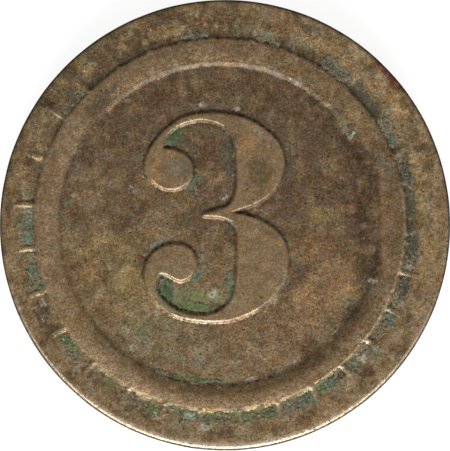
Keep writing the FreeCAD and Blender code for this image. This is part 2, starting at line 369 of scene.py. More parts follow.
# Stains as far out as the ring, about the dies' axis: centre, half length, half width, the long side's
# angle, colour and strength.
STAINS = (
    (-0.3, 4.72, 1.3, 0.24, -8, "olive", 0.75),
    (-3.6, 4.2, 0.95, 0.24, 58, "slate", 0.55),
    (-0.6, 5.98, 2, 0.2, 4, "slate", 0.45),
    (3.55, 3.4, 0.95, 0.18, 95, "slate", 0.65),
    (-1.2, -3.85, 1.75, 0.6, -5, "fern", 0.95),
    (0.48, -3.3, 0.28, 0.95, 0, "sage", 0.85),
    (-2.3, 4.4, 0.62, 0.36, 45, "moss", 1),
    (-2.62, 4.12, 0.22, 0.15, 60, "sage", 1),
    (-1.75, 3.95, 0.6, 0.34, -20, "slate", 0.6),
    (-3.8, 2.4, 0.45, 0.16, 110, "leaf", 0.7),
    (-1.42, 2.15, 0.5, 0.22, 60, "teal", 0.9),
    (-1, 1.95, 0.35, 0.2, 40, "slate", 0.5),
    (0.5, 3.5, 1.2, 0.3, 92, "slate", 0.9),
    (0.25, 1.4, 0.22, 0.14, 20, "chalk", 0.6),
    (-2.75, -3.35, 0.8, 0.42, 108, "moss", 1),
    (-2.95, -2.75, 0.3, 0.2, 60, "mist", 0.6),
    (-2.25, -3.4, 0.46, 0.12, 100, "mist", 0.9),
    (-1.8, -3.6, 0.36, 0.26, 0, "sage", 0.9),
    (-1.5, -4.25, 1.1, 0.26, -6, "leaf", 1),
    (-0.4, -3.6, 0.24, 0.18, 20, "chalk", 0.7),
    (-0.2, -4.25, 0.4, 0.22, 20, "olive", 0.8),
    (-3, -0.92, 0.6, 0.18, 24, "teal", 0.7),
    (-1, -1.6, 0.6, 0.2, 100, "mist", 0.6),
    (-1.2, -2.7, 0.4, 0.22, 60, "teal", 0.9),
    (0.4, -2.8, 0.5, 0.22, 96, "sage", 0.9),
    (0.5, -3.4, 0.34, 0.24, 100, "sage", 0.8),
    (0.4, -0.3, 0.4, 0.24, 60, "slate", 0.9),
    (3.45, -0.8, 0.36, 0.16, 100, "leaf", 0.6),
    (3.4, -2.8, 0.5, 0.2, 70, "mist", 0.6),
    (2.7, -3.9, 0.4, 0.14, 40, "chalk", 0.55),
    (3.74, -1.6, 0.6, 0.12, 92, "mist", 0.5),
    (2.2, 0.66, 0.45, 0.1, -22, "chalk", 0.6),
    (3.1, 0.05, 0.4, 0.1, -50, "mist", 0.6),
    (-3.6, -1.3, 0.45, 0.12, 48, "mist", 0.6),
    (-1.6, -7.85, 1.6, 0.2, -6, "leaf", 0.8),
    (-2.8, -7.75, 0.4, 0.14, -16, "mist", 0.6),
    (-0.2, -8, 0.6, 0.14, 0, "teal", 0.7),
    (0.6, -7.85, 0.5, 0.14, 4, "sage", 0.6),
    (1.6, -7.9, 0.45, 0.14, 8, "chalk", 0.7),
    (-4.45, -6.35, 0.34, 0.18, -40, "chalk", 0.5),
    (-7.7, 1.15, 0.3, 0.2, 40, "teal", 0.8),
    (-7.5, 1.5, 0.16, 0.12, 0, "chalk", 0.5),
    (-7.8, -0.2, 0.5, 0.22, 80, "sage", 0.5),
    (-4.8, 6.3, 0.26, 0.14, 0, "mist", 0.6),
    (-0.85, 6.15, 0.22, 0.14, 0, "chalk", 0.6),
    (0.9, 5.95, 0.2, 0.12, 0, "chalk", 0.7),
    (0.2, 6.2, 0.16, 0.12, 0, "mist", 0.5),
    (-2.7, 0.3, 0.4, 0.16, 10, "teal", 0.5),
    (-4.4, 1.8, 0.34, 0.24, -20, "mist", 0.45),
    (6.7, 4.45, 0.26, 0.14, 60, "turquoise", 0.7),
    (6.2, 5.4, 0.26, 0.12, 70, "teal", 0.6),
    (7.85, -2.9, 0.26, 0.16, 0, "chalk", 0.7),
    (7.45, -3.25, 0.3, 0.2, 20, "moss", 0.6),
    (6.5, -3.9, 0.5, 0.28, 40, "mist", 0.4),
    (5.1, -0.4, 0.4, 0.16, 0, "slate", 0.4),
    (2.6, 0.35, 0.4, 0.14, -30, "slate", 0.6),
    (3.6, 1.2, 0.5, 0.18, 70, "slate", 0.6),
    (3.1, 4.6, 0.7, 0.16, -56, "slate", 0.6),
)

# Scratches, nicks and creases: start, end, sideways bulge, width and depth, about the dies' axis.
SCRATCHES = (
    ((4.95, 2.08), (5.88, 1.68), -0.1, 0.045, 0.03),
    ((0.62, 8.92), (1.12, 9.1), -0.13, 0.05, 0.04),
    ((0.6, 2.5), (0.95, 2.26), 0.03, 0.05, 0.035),
    ((-2.35, 10.42), (-1.92, 10.18), 0.02, 0.045, 0.02),
    ((-2.3, 10.22), (-2.05, 10.3), 0.02, 0.04, 0.015),
    ((-10.2, -1.85), (-9.48, -3.1), 0.06, 0.06, 0.04),
    ((-2.62, -8.32), (-2.28, -8.5), 0.03, 0.08, 0.045),
    ((-3.6, 0.55), (-2.95, 0.92), 0.03, 0.05, 0.02),
    ((6.9, 3.9), (7.1, 3.1), 0.2, 0.035, 0.012),
    ((3.2, 2.2), (3.95, 2.75), 0.03, 0.04, 0.014),
    ((-5.6, 7.1), (-5.05, 7.28), 0.04, 0.04, 0.015),
    ((-0.2, -9.45), (0.5, -9.6), 0.02, 0.05, 0.02),
)

# Broad changes of tone in the metal, with the same columns as STAINS.
TONES = (
    (-2.4, 3.68, 0.6, 0.2, 10, "orange", 0.6),
    (-3.25, 2.8, 0.6, 0.24, 80, "orange", 0.55),
    (-2, 3, 0.6, 0.5, 0, "ash", 0.45),
    (0.9, 4.4, 0.4, 0.3, 0, "rust", 0.6),
    (1.1, 3.75, 0.4, 0.3, 30, "orange", 0.65),
    (1.6, 4.25, 0.45, 0.3, -20, "orange", 0.6),
    (2.1, 2.8, 0.8, 0.6, 60, "olive", 0.5),
    (2.3, 4.3, 0.5, 0.4, 0, "ash", 0.4),
    (-6.6, -2.4, 1, 0.85, 20, "umber", 0.75),
    (-6.62, -2.35, 0.5, 0.4, 20, "orange", 0.3),
    (-5.8, -4.6, 0.55, 0.4, 0, "umber", 0.6),
    (-6.1, -1, 1.6, 0.5, 15, "ochre", 0.7),
    (-4.6, -2.6, 1.3, 0.6, 80, "ochre", 0.6),
    (-4, -4.4, 0.9, 0.5, 10, "ochre", 0.6),
    (-5.9, -3.5, 0.6, 0.35, 0, "ash", 0.5),
    (-5, 0.1, 1.2, 0.35, -25, "umber", 0.5),
    (-5.2, -3.2, 2.4, 1.6, 30, "ochre", 0.35),
    (-2.6, -5.9, 2.6, 1.2, -18, "reed", 0.7),
    (-3.8, -5.6, 0.7, 0.4, 20, "sage", 0.45),
    (-4.4, -6.3, 0.6, 0.35, -30, "ash", 0.6),
    (-1.6, -5.8, 0.9, 0.6, 0, "umber", 0.35),
    (-1.2, -7.1, 0.7, 0.35, -10, "ash", 0.5),
    (2.6, -6.9, 0.6, 0.25, 10, "orange", 0.4),
    (-6, 5.2, 1.6, 0.8, 50, "umber", 0.35),
    (-2, 6.8, 1.8, 0.5, 15, "umber", 0.5),
    (2.8, 6.6, 1.6, 0.5, -25, "umber", 0.4),
    (5.5, 2.9, 0.55, 0.4, 80, "ochre", 0.45),
    (5.2, 0.4, 0.8, 0.45, 0, "ochre", 0.45),
    (6.9, 0.8, 0.25, 0.2, 0, "orange", 0.8),
    (7.45, -0.9, 2.3, 0.5, 96, "shade", 0.7),
    (7.3, 3, 1.5, 0.6, 112, "shade", 0.7),
    (5.6, 5.5, 1.6, 0.5, 130, "shade", 0.5),
    (5, -1.2, 1.4, 0.8, 0, "orange", 0.3),
    (4.8, -3.8, 1.6, 1.2, 40, "orange", 0.3),
    (6.55, -4.7, 0.6, 0.3, 55, "slate", 0.6),
    (8.35, 3.2, 0.75, 0.35, 110, "ash", 0.6),
    (8.32, 0.2, 2.2, 0.13, 92, "orange", 0.2),
    (9.95, 2.1, 1.3, 0.4, 100, "gold", 0.6),
    (10.75, -1, 0.7, 0.3, 85, "gold", 0.5),
    (9.05, 6.2, 0.8, 0.3, 118, "gold", 0.5),
    (9.7, 4.9, 0.6, 0.3, 110, "shade", 0.4),
    (7, 5.6, 1.3, 0.35, 128, "ochre", 0.5),
    (-5.9, 6.3, 0.9, 0.35, 45, "slate", 0.4),
    (-2.6, 10.4, 0.9, 0.45, 5, "shade", 0.45),
    (-3, 9.75, 0.5, 0.26, 20, "ochre", 0.3),
    (-6.55, 8.3, 0.5, 0.32, 40, "shade", 0.5),
    (-8.75, 6.15, 0.28, 0.16, 0, "soot", 0.6),
    (-9.7, 2.8, 0.4, 0.6, 0, "shade", 0.4),
    (-10.8, 1.2, 0.2, 0.7, 0, "shade", 0.5),
    (0.7, 10.65, 0.7, 0.4, 0, "shade", 0.45),
    (4.6, 9.9, 0.6, 0.22, -20, "slate", 0.5),
    (6.25, 9.2, 0.25, 0.12, -30, "shade", 0.6),
    (8.75, 7.55, 1.05, 0.3, -48, "red", 0.95),
    (8.05, 8.2, 0.3, 0.14, -40, "red", 0.6),
    (10.2, 3.9, 0.6, 0.26, 10, "shade", 0.6),
    (10.55, 2.9, 0.28, 0.36, 0, "olive", 0.6),
    (10.75, 1.5, 0.26, 0.5, 0, "olive", 0.6),
    (10.2, 0.3, 0.4, 0.9, 0, "ochre", 0.5),
    (9.2, -6.4, 0.34, 0.26, 0, "shade", 0.6),
    (7.4, -7.55, 0.5, 0.34, 20, "shade", 0.6),
    (4.25, -10, 0.4, 0.22, 0, "rust", 0.5),
    (-3.6, -9.6, 0.9, 0.34, -25, "shade", 0.55),
    (-5.8, -8.4, 0.8, 0.3, -40, "shade", 0.5),
    (-8.7, -5, 0.34, 0.9, 20, "shade", 0.5),
    (-9.9, -2.2, 0.4, 0.8, 15, "olive", 0.4),
)

# Blotches all over the metal: random seed, size, how rare, colour and strength.
BLOTCHES = (
    (34, 0.9, 0.3, (84, 68, 49), 0.7),
    (37, 0.9, 0.4, (142, 121, 84), 0.5),
    (38, 0.6, 0.8, (132, 99, 66), 0.4),
    (39, 0.5, 0.8, (98, 94, 66), 0.5),
)

# Stains in the border: first and last degree, inner and outer radius, colour and strength.
BORDER_STAINS = (
    (137, 143, 9.6, 10.15, "slate", 0.7),
    (175, 178, 9.6, 10, "mist", 0.8),
    (178, 186, 9.55, 10.1, "teal", 0.9),
    (191, 196, 9.55, 10, "teal", 0.7),
    (197, 201, 9.55, 10.1, "sage", 0.9),
    (203.5, 205, 9.75, 10, "chalk", 0.8),
    (207, 209, 10.1, 10.3, "chalk", 0.6),
    (214, 222, 9.6, 10, "leaf", 0.8),
    (230, 233, 10.6, 10.9, "ash", 0.6),
    (234, 238, 9.6, 10.1, "leaf", 0.6),
    (244, 248, 9.52, 9.72, "cream", 0.9),
    (248, 252, 9.8, 10.4, "leaf", 0.8),
    (251, 252.6, 10.15, 10.45, "chalk", 0.7),
    (256, 259.5, 9.65, 10, "leaf", 0.8),
    (259, 262.5, 9.75, 10.05, "turquoise", 0.9),
    (264, 267.5, 10.25, 10.55, "chalk", 0.8),
    (264.5, 270, 9.65, 10.1, "sage", 0.9),
    (265.5, 272, 9.6, 9.8, "fern", 0.8),
    (272, 276, 9.6, 9.95, "fern", 0.8),
    (276.5, 280, 9.65, 10.2, "leaf", 0.7),
    (279.5, 283, 9.6, 9.95, "fern", 0.9),
    (277, 279, 10.2, 10.4, "mist", 0.8),
    (283, 287.5, 9.65, 10.2, "leaf", 0.9),
    (289.5, 292, 9.6, 10.2, "teal", 0.6),
    (294, 299, 9.7, 10.3, "teal", 0.9),
    (300.5, 303.5, 9.6, 10.2, "leaf", 1),
    (303.5, 307, 9.6, 10.2, "teal", 0.9),
    (307.5, 310, 9.75, 10.05, "soot", 0.7),
    (311.5, 315.5, 9.6, 10.2, "sage", 0.8),
    (315.8, 318.3, 9.8, 10.2, "chalk", 0.9),
    (319, 322, 10, 10.6, "teal", 0.8),
    (329.5, 333, 9.6, 10.2, "teal", 0.8),
    (334.5, 338.5, 9.95, 10.3, "ash", 0.6),
    (338.5, 344.5, 9.6, 10.2, "slate", 0.7),
    (346.8, 349.2, 9.7, 10, "chalk", 0.9),
    (349.5, 358.5, 9.6, 10.2, "slate", 0.8),
    (0.8, 2.6, 9.6, 9.8, "chalk", 0.6),
    (2.5, 10.5, 9.6, 10.1, "slate", 0.8),
    (12, 19, 9.6, 10.1, "slate", 0.9),
    (19.5, 21.5, 9.7, 9.95, "mist", 0.8),
    (24, 28.5, 9.55, 9.9, "teal", 0.9),
    (34, 47, 9.6, 10.2, "slate", 0.7),
    (50, 54.5, 9.6, 10, "teal", 0.9),
    (54.5, 58.5, 9.6, 10.1, "slate", 0.8),
    (66, 69, 9.6, 10.1, "mist", 0.5),
    (73.5, 79.5, 9.6, 10.15, "sage", 0.5),
    (81, 85, 9.6, 10.2, "olive", 0.6),
    (93, 98.5, 9.6, 9.8, "teal", 0.8),
    (100, 104, 9.6, 9.75, "mist", 0.7),
)


def oval_weight(x, y, row, ragged):
    """How strongly an oval stain covers each point."""
    centre_x, centre_y, half_length, half_width, turn = row[:5]
    angle = math.radians(turn)
    across = x - DIES_AXIS[0] - centre_x
    along = y - DIES_AXIS[1] - centre_y
    lengthwise = (across * math.cos(angle) + along * math.sin(angle)) / half_length
    sideways = (along * math.cos(angle) - across * math.sin(angle)) / half_width
    return 1 - ramp(0.65, 1.35, np.hypot(lengthwise, sideways) + 0.25 * ragged)


def sector_weight(radius, angle, row, ragged):
    """How strongly a stain between two radii and two directions covers each point."""
    start, end, inner, outer = row[:4]
    half_turn = (end - start) / 2
    off_turn = np.abs((angle - start - half_turn + 180) % 360 - 180) / half_turn
    off_radius = np.abs(radius - (inner + outer) / 2) / ((outer - inner) / 2)
    return 1 - ramp(0.7, 1.4, np.maximum(off_turn, off_radius) + 0.2 * ragged)


def blend(colours, weight, colour):
    """Colours moved towards one colour."""
    weight = np.asarray(weight)[:, None]
    return colours * (1 - weight) + linear(colour) * weight


def zones(radius, above):
    """Weights of the numeral, ring, border and rim at points that stand some height above the field."""
    numeral = ramp(0.05, 0.14, above) * (radius < NUMERAL_REACH)
    ring = ramp(*FIELD_TO_RING, radius) * (1 - ramp(*RING_TO_BORDER, radius))
    rim = ramp(*BORDER_TO_RIM, radius)
    border = ramp(*RING_TO_BORDER, radius) * (1 - rim)
    return numeral, ring, border, rim


def region_weights(radius, above, patches):
    """Weights of the regions that REGION_TONES names."""
    numeral, ring, border, rim = zones(radius, above)
    outer_flank = ramp(9.34, 9.42, radius) * ramp(9.68, 9.6, radius)
    return {
        "numeral": numeral,
        "ring": ring,
        "border": border,
        "rim": rim,
        "ring and border": ring + border,
        "border and rim": border + 0.6 * rim,
        "inner flank": ramp(8.05, 8.15, radius) * ramp(8.42, 8.32, radius),
        "inner side": ramp(8.2, 8.3, radius) * ramp(8.88, 8.6, radius),
        "outer flank": outer_flank,
        "dull flank": outer_flank * np.clip(0.7 + 0.3 * patches, 0, 0.95),
        "outer border": ramp(10.2, 10.5, radius) * (radius < 11.1),
        "outer rim": ramp(10.9, 11.1, radius),
    }


def towards(angle, direction, low, high):
    """A weight that is 1 round one direction from the centre, and 0 away from it."""
    return ramp(low, high, np.cos(np.radians(angle - direction)))


def grime(radius, angle, patches):
    """Dirt packed against the ring in the border, most of all on the right."""
    darkening = ramp(*RING_TO_BORDER, radius) * ramp(10.3, 9.8, radius + 0.12 * patches)
    return darkening * np.clip(0.12 + 0.75 * towards(angle, 10, 0.1, 0.7) + 0.25 * patches, 0, 1)


def metal_colour(x, y, skin):
    """The metal's tone: tan on what stands proud, brown over one side of the field, painted shade on the
    ring's inner side along the bottom and a painted highlight on its outer flank to the lower right.
    """
    radius, angle = from_dies(x, y)
    regions = region_weights(radius, skin.above, skin.patches)
    facing_top = np.cos(np.radians(angle - 74)) * ramp(1.0, 4.0, radius)
    brown = 0.95 * ramp(-0.45, 0.45, 0.1 + facing_top + 0.3 * skin.patches)
    colours = blend(np.tile(linear(FIELD), (len(x), 1)), brown, BROWN)
    for region, strength, where, colour in REGION_TONES:
        colours = blend(colours, regions[region] * strength * towards(angle, *where), colour)
    for row in TONES:
        weight = oval_weight(x, y, row, skin.patches + 0.7 * skin.ragged)
        colours = blend(colours, np.minimum(1.25 * row[6], 1) * weight, COLOURS[row[5]])
    outer = regions["border"] + regions["rim"]
    worn = regions["numeral"] + regions["ring"]
    uneven = 0.6 + 0.25 * outer - 0.25 * worn
    for seed, size, low, colour, strength in BLOTCHES:
        blotch = ramp(low, low + 0.9, sampled(grain(seed, size), *skin.spread) + 0.45 * skin.ragged)
        colours = blend(colours, strength * uneven * blotch, colour)
    return blend(colours, 0.85 * grime(radius, angle, skin.patches + skin.ragged), GRIME)


def stain_colour(x, y, ragged):
    """Colour and cover of the stains at points."""
    radius, angle = from_dies(x, y)
    colours = np.tile(linear(COLOURS["sage"]), (len(x), 1))
    cover = np.zeros(len(x))
    for row in STAINS:
        weight = oval_weight(x, y, row, ragged) * row[6]
        colours = blend(colours, np.minimum(weight * 1.5, 1), COLOURS[row[5]])
        cover = np.maximum(cover, weight)
    for row in BORDER_STAINS:
        weight = sector_weight(radius, angle, row, ragged) * row[5]
        colours = blend(colours, np.minimum(weight * 1.5, 1), COLOURS[row[4]])
        cover = np.maximum(cover, weight)
    return colours, cover


# Meshes


def add_colour(mesh, name, colours):
    """Store a colour for each vertex."""
    values = np.ones((len(colours), 4), np.float32)
    values[:, :3] = colours
    layer = mesh.color_attributes.new(name, "FLOAT_COLOR", "POINT")
    layer.data.foreach_set("color", values.ravel())


def add_value(mesh, name, values):
    """Store a number for each vertex."""
    layer = mesh.attributes.new(name, "FLOAT", "POINT")
    layer.data.foreach_set("value", np.asarray(values, np.float32))


def add_object(name, data):
    """A new object in the scene."""
    made = bpy.data.objects.new(name, data)
    bpy.context.scene.collection.objects.link(made)
    return made


def make_piece(name, points, faces, material, nodes):
    """A smooth-shaded piece on the token, which stands for CAD nodes."""
    mesh = bpy.data.meshes.new(name)
    mesh.from_pydata((points * MM).tolist(), [], faces)
    mesh.validate()
    mesh.shade_smooth()
    mesh.materials.append(material)
    piece = add_object(name, mesh)
    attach(piece, "root")
    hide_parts(*nodes)
    return piece


def edge_rows(front_rim, back_rim, seed):
    """Rows of points from the front face's rim round the edge to the back face's, without either rim."""
    turns = np.arange(COLUMNS) * 2 * math.pi / COLUMNS
    rng = np.random.default_rng(seed)
    uneven = np.zeros(COLUMNS)
    for waves in range(2, 40):
        uneven += rng.normal() * np.cos(waves * turns + rng.uniform(0, 6.28)) / waves ** 0.8
    uneven *= 0.006
    rows, lower = [], []
    for lean in ROUND_ROWS:
        share = lean / 90
        drop = ROUNDING * (1 - math.cos(math.radians(lean)))
        reach = math.sin(math.radians(lean))
        radius = BLANK_RADIUS - ROUNDING + ROUNDING * reach + uneven * share
        rows.append((radius, front_rim - drop + (THICKNESS - front_rim) * share))
        lower.append((radius, back_rim + drop - back_rim * share))
    for share in WALL_ROWS:
        height = THICKNESS - ROUNDING - share * (THICKNESS - 2 * ROUNDING)
        rows.append((BLANK_RADIUS + uneven, np.full(COLUMNS, height)))
    across, along = np.cos(turns), np.sin(turns)
    return [np.stack([radius * across, radius * along, z], -1) for radius, z in rows + lower[::-1]]


def make_token(front, back, material):
    """The struck disc as one closed mesh."""
    front_points = face_points(front, FRONT_SPACING, 21)
    back_points = face_points(back, BACK_SPACING, 22)
    front_z = sampled(front, *front_points.T)
    back_z = sampled(back, *back_points.T)
    front_part = np.column_stack([front_points, front_z])
    back_part = np.column_stack([back_points, back_z])
    edge = edge_rows(front_z[:COLUMNS], back_z[:COLUMNS], 23)
    points = np.concatenate([front_part, *edge, back_part])
    edge_start = len(front_part)
    back_start = edge_start + COLUMNS * len(edge)
    faces = triangles(front_points)
    faces += [[back_start + corner for corner in reversed(face)] for face in triangles(back_points)]
    starts = [0] + [edge_start + COLUMNS * row for row in range(len(edge))] + [back_start]
    for upper, lower in zip(starts, starts[1:]):
        for column in range(COLUMNS):
            following = (column + 1) % COLUMNS
            faces.append([upper + column, lower + column, lower + following, upper + following])
    piece = make_piece("token", points, faces, material, ["struck_disc"])
    paint_token(piece.data, skin_of(points, edge_start, back_start), front, back)


def flanks(heights):
    """Steepness of the front's flanks that face down the token, and of those that face up it."""
    rise = np.gradient(blurred(heights, 0.03), STEP)[0]
    bars, in_border = above_border(blurred(heights, 0.03), False)
    bar_rise = 2 * np.gradient(bars, STEP)[0]
    rise = np.where(in_border & (GRID_RADIUS > 9.62), bar_rise, rise)
    return ramp(0.22, 0.62, rise), ramp(0.24, 0.66, -rise)


def painted_flank_highlight(x, y):
    """How strong the painted highlight is on the flanks that face down the token, towards the lamp."""
    radius, angle = from_dies(x, y)
    broken = sampled(grain(35, 1.2), x, y)
    specks = sampled(grain(36, 0.28), x, y)
    across, along = x - DIES_AXIS[0], y - DIES_AXIS[1]
    bottom = ramp(-3.2, -4.4, along) * ramp(2.8, 1.4, across)
    left = ramp(0.4, -1.0, across)
    numeral = 0.1 + 0.16 * left + 0.42 * bottom
    outer_ring = 0.03 + 0.35 * towards(angle, 328, 0.7, 0.95)
    painted_highlight = np.where(radius < 8.8, 0.05, outer_ring)
    painted_highlight = np.where(radius > RING_OUTSIDE[1] + 0.04, 0.02, painted_highlight)
    painted_highlight = np.where(radius < NUMERAL_REACH, numeral, painted_highlight)
    return np.clip(painted_highlight * (1 + 0.7 * broken + 0.6 * specks), 0, 1)


def painted_edge_highlight(x, y, z):
    """The painted highlight along the edge's rounding at the bottom of the token, where it faces the lamp.
    """
    radius = np.hypot(x, y)
    height = np.sin(np.arctan2(y, x))
    low = ramp(-0.22, -0.6, height)
    start = 11.3 - 0.08 * ramp(-0.6, -0.9, height)
    line = ramp(start - 0.03, start + 0.03, radius) * ramp(11.42, 11.37, radius)
    line = line * (z > THICKNESS / 2)
    return line * low * np.clip(0.95 + 0.2 * sampled(grain(36, 0.3), x, y), 0, 1)


def hollowness(heights):
    """How far metal lies below its surroundings: above 0 in hollows and below 0 on crests."""
    return (blurred(heights, 0.16) - heights) / 0.075


def skin_of(points, edge_start, back_start):
    """The token's points: their places, which side each is on, and random values for them."""
    x, y, z = points.T
    number = np.arange(len(points))
    on_back = number >= back_start
    on_edge = (number >= edge_start) & ~on_back
    above = np.where(on_back, THICKNESS - FIELD_LEVEL - z, z - FIELD_LEVEL)
    unrolled = np.where(on_edge, 1 - (THICKNESS - z) / BLANK_RADIUS, 1)
    spread = (x * unrolled, y * unrolled)
    patches = sampled(grain(31, 2.4), *spread)
    ragged = sampled(grain(32, 0.35), *spread)
    return SimpleNamespace(
        x=x, y=y, z=z, at=(x, y), radius=np.hypot(x, y), above=above,
        spread=spread, patches=patches, ragged=ragged,
        on_front=number < edge_start, on_edge=on_edge, on_back=on_back,
    )


def bare_metal(skin, front):
    """Colour of the metal. The back has the front's tones turned half round the dies' axis."""
    metal = metal_colour(*skin.at, skin)
    turned = metal_colour(2 * DIES_AXIS[0] - skin.x, 2 * DIES_AXIS[1] - skin.y, skin)
    metal[skin.on_back] = turned[skin.on_back]
    bars = sampled(bar_tops(front), *skin.at) * skin.on_front
    return blend(metal, bars * np.clip(0.7 + 0.3 * skin.ragged, 0, 1), BAR_TOP)


def hollow_dirt_and_outline_shade(skin, front, back_hollow):
    """Dirt in the hollows of the faces, painted shade along the token's outline, most of all along the
    top, and below 0 on crests.
    """
    hollow = np.where(skin.on_back, back_hollow, sampled(hollowness(front), *skin.at))
    hollow[skin.on_edge] = 0
    # Painted shade on the edge's rounding, away from the lamp, heavier along the top.
    upper = ramp(-0.35, 0.1, skin.y / skin.radius)
    outline = ramp(11.37, 11.43, skin.radius) * (0.75 + 0.35 * upper)
    return np.maximum(hollow, outline * ramp(0.95, 1.3, skin.z + 0.05 * skin.ragged))


def painted_flank_shade(skin, facing_up):
    """Painted shade on the flanks that face up the token, away from the lamp, and up to the ring most of
    all at their feet.
    """
    foot = ramp(0.13, 0.06, skin.above)
    darkening = np.where(skin.radius > 9.0, 0.33, 0.2 + 0.46 * foot)
    return facing_up * np.clip(darkening + 0.32 * skin.ragged, 0, 1)


def polish_and_highlight_at(skin, dirt_and_shade, facing_down):
    """How bright the metal is: painted highlights along the bottom of the edge and on flanks that face
    down the token, and polish on crests.
    """
    painted_highlight = np.maximum(painted_edge_highlight(*skin.at, skin.z), facing_down * painted_flank_highlight(*skin.at))
    crests = 0.5 * ramp(-0.3, -1.0, dirt_and_shade) * np.clip(0.6 + 0.4 * skin.ragged, 0, 1)
    return np.maximum(painted_highlight, crests)


def paint_token(mesh, skin, front, back):
    """Colours and weights for the metal's material."""
    numeral, ring, border = zones(from_dies(*skin.at)[0], skin.above)[:3]
    upper_right = (0.77 * skin.x + 0.64 * skin.y) / skin.radius
    smooth_ring = 0.65 - 0.65 * ramp(-0.2, 0.6, upper_right + 0.3 * skin.patches)
    lower_right = (0.82 * skin.x - 0.57 * skin.y) / skin.radius
    pitted = np.maximum(ramp(-0.6, 0.8, lower_right + 0.35 * skin.patches), 0.75 * border)
    stain, cover = stain_colour(*skin.at, skin.ragged)
    back_hollow = -sampled(hollowness(back), *skin.at)
    back_cover = ramp(0.3, 1.6, back_hollow + 0.5 * skin.patches + 0.2 * skin.ragged)
    dirt_and_shade = hollow_dirt_and_outline_shade(skin, front, back_hollow)
    down, up = [sampled(steep, *skin.at) * skin.on_front for steep in flanks(front)]
    add_value(mesh, "worn", np.where(skin.on_edge, 0, 1.5 * numeral + ring * smooth_ring))
    add_colour(mesh, "metal", bare_metal(skin, front))
    add_colour(mesh, "stain", stain)
    add_value(mesh, "cover", np.where(skin.on_back, back_cover, cover * skin.on_front))
    # The hollow weight holds dirt in hollows and painted shade; the polish weight holds painted highlights
    # and polish on crests.
    add_value(mesh, "hollow", np.maximum(dirt_and_shade, painted_flank_shade(skin, up)))
    add_value(mesh, "polish_and_highlight", polish_and_highlight_at(skin, dirt_and_shade, down))
    add_value(mesh, "pitted", pitted * (1 - 0.7 * numeral))


def unpinched(cells):
    """Cells without those that touch others only at a corner."""
    cells = cells.copy()
    for _ in range(4):
        lower_left, lower_right = cells[:-1, :-1], cells[:-1, 1:]
        upper_left, upper_right = cells[1:, :-1], cells[1:, 1:]
        rising = lower_left & upper_right & ~lower_right & ~upper_left
        falling = lower_right & upper_left & ~lower_left & ~upper_right
        lower_left[rising] = False
        lower_right[falling] = False
    return cells


def crust_rise(node, front, seed, dirty):
    """A crust's height above the metal, and how deep inside the CAD's outline each point lies."""
    present = ~np.isnan(cad_height(node, False))
    inside = blurred(present.astype(float), 0.13)
    inside *= 1 - 0.6 * towards(GRID_ANGLE, 110, 0.6, 0.85) * ramp(9.75, 9.95, GRID_RADIUS)
    inside *= 1 - 0.8 * bar_tops(front)
    lumps = 0.34 * grain(seed, 0.5) + 0.27 * grain(seed + 1, 0.17)
    lumps -= 0.8 * dirty * ramp(0.3, 1.5, grain(seed + 20, 0.6))
    rise = 0.05 * (1.8 * inside - 0.85 + lumps)
    return np.where(inside > 0.1, np.clip(rise, *CRUST_RANGE), CRUST_RANGE[0]), inside


def crust_cells(rise):
    """The grid's cells that a crust covers, without lone crumbs."""
    proud = (rise > -0.002).astype(float)
    kept = (blurred(proud, 0.045) > 0.45) & (blurred(proud, 0.12) > 0.2)
    return unpinched(kept[:-1, :-1] & kept[:-1, 1:] & kept[1:, :-1] & kept[1:, 1:])


def cell_corners(cells):
    """The grid's points at the corners of cells."""
    used = np.zeros((GRID, GRID), bool)
    for row in (0, 1):
        for column in (0, 1):
            used[row:row + GRID - 1, column:column + GRID - 1] |= cells
    return used


def make_crust(name, node, front, seed, material, dirty=1.0):
    """Lumpy deposits on the metal, broken up inside the outline of the CAD's plain ones."""
    rise, inside = crust_rise(node, front, seed, dirty)
    cells = crust_cells(rise)
    used = cell_corners(cells)
    covered = np.zeros((GRID, GRID))
    covered[:-1, :-1] = cells
    thinned = 0.06 * (blurred(covered, 0.03) - 0.45)
    top = front[used] + np.maximum(np.minimum(rise, thinned)[used], -0.012)
    bottom = front[used] - CRUST_ROOT
    x, y = GRID_X[used], GRID_Y[used]
    points = np.concatenate([np.column_stack([x, y, top]), np.column_stack([x, y, bottom])])
    piece = make_piece(name, points, crust_faces(cells, used), material, [node])
    paint_crust(piece.data, x, y, inside[used], dirty)


def paint_crust(mesh, x, y, inside, dirty):
    """Colours and weights for the crusts' material, the same on top and underneath."""
    ragged = sampled(grain(33, 0.25), x, y)
    stain, cover = stain_colour(x, y, ragged)
    grey = 0.55 * dirty * ramp(-0.1, 0.9, sampled(grain(40, 0.55), x, y))
    stain = blend(stain, grey, COLOURS["slate"])
    thin = dirty * np.maximum(ramp(0.75, 0.3, inside + 0.12 * ragged), 0.8 - 0.9 * cover)
    add_colour(mesh, "stain", np.concatenate([stain, stain]))
    add_value(mesh, "thin", np.concatenate([thin, thin]))
    add_value(mesh, "loose", np.full(2 * len(x), dirty))


def crust_faces(cells, used):
    """Quads of a crust's top, its underside and the walls between them."""
    number = np.cumsum(used.ravel()).reshape(GRID, GRID) - 1
    count = int(used.sum())
    rows, columns = np.nonzero(cells)
    corners = [number[rows, columns], number[rows, columns + 1],
               number[rows + 1, columns + 1], number[rows + 1, columns]]
    top = np.stack(corners, -1)
    faces = top.tolist() + (top[:, ::-1] + count).tolist()
    padded = np.pad(cells, 1)
    neighbours = ((-1, 0, 0, 1), (0, 1, 1, 2), (1, 0, 2, 3), (0, -1, 3, 0))
    for down, across, start, end in neighbours:
        open_side = ~padded[rows + 1 + down, columns + 1 + across]
        first, last = corners[start][open_side], corners[end][open_side]
        faces += np.stack([last, first, first + count, last + count], -1).tolist()
    return faces


# Materials


